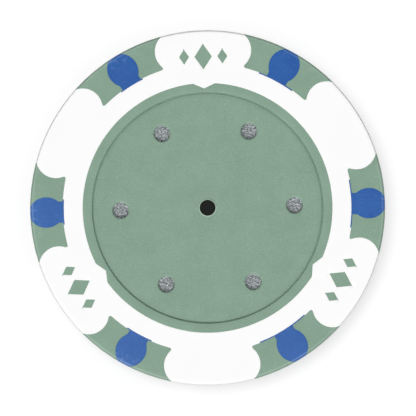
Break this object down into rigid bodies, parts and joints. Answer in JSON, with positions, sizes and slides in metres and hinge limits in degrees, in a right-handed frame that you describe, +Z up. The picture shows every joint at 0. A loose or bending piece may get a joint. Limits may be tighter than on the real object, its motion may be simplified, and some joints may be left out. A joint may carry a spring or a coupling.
{
  "type": "poker chip",
  "caption": "Round weighted gaming chip: green plastic moulded over a steel slug, with a white ring and lobes, blue edge spots and a bare label recess in each face.",
  "frame": {"origin": "middle of the lower face", "axes": "+Z up through the thickness, +Y towards a marked lobe, +X towards an edge spot"},
  "size_m": [0.039, 0.039, 0.0033],
  "materials": {
    "slug_steel": "raw stamped steel with a rough granular skin",
    "green_plastic": "fine matt moulded texture, mineral filled",
    "white_plastic": "fine matt moulded texture, mineral filled",
    "blue_plastic": "fine matt moulded texture, mineral filled"
  },
  "bodies": {
    "root": {"steel_slug": "slug_steel", "body_moulding": "green_plastic", "white_moulding": "white_plastic", "edge_spot_1": "blue_plastic", "edge_spot_2": "blue_plastic", "edge_spot_3": "blue_plastic", "edge_spot_4": "blue_plastic", "edge_spot_5": "blue_plastic", "edge_spot_6": "blue_plastic"}
  },
  "joints": []
}
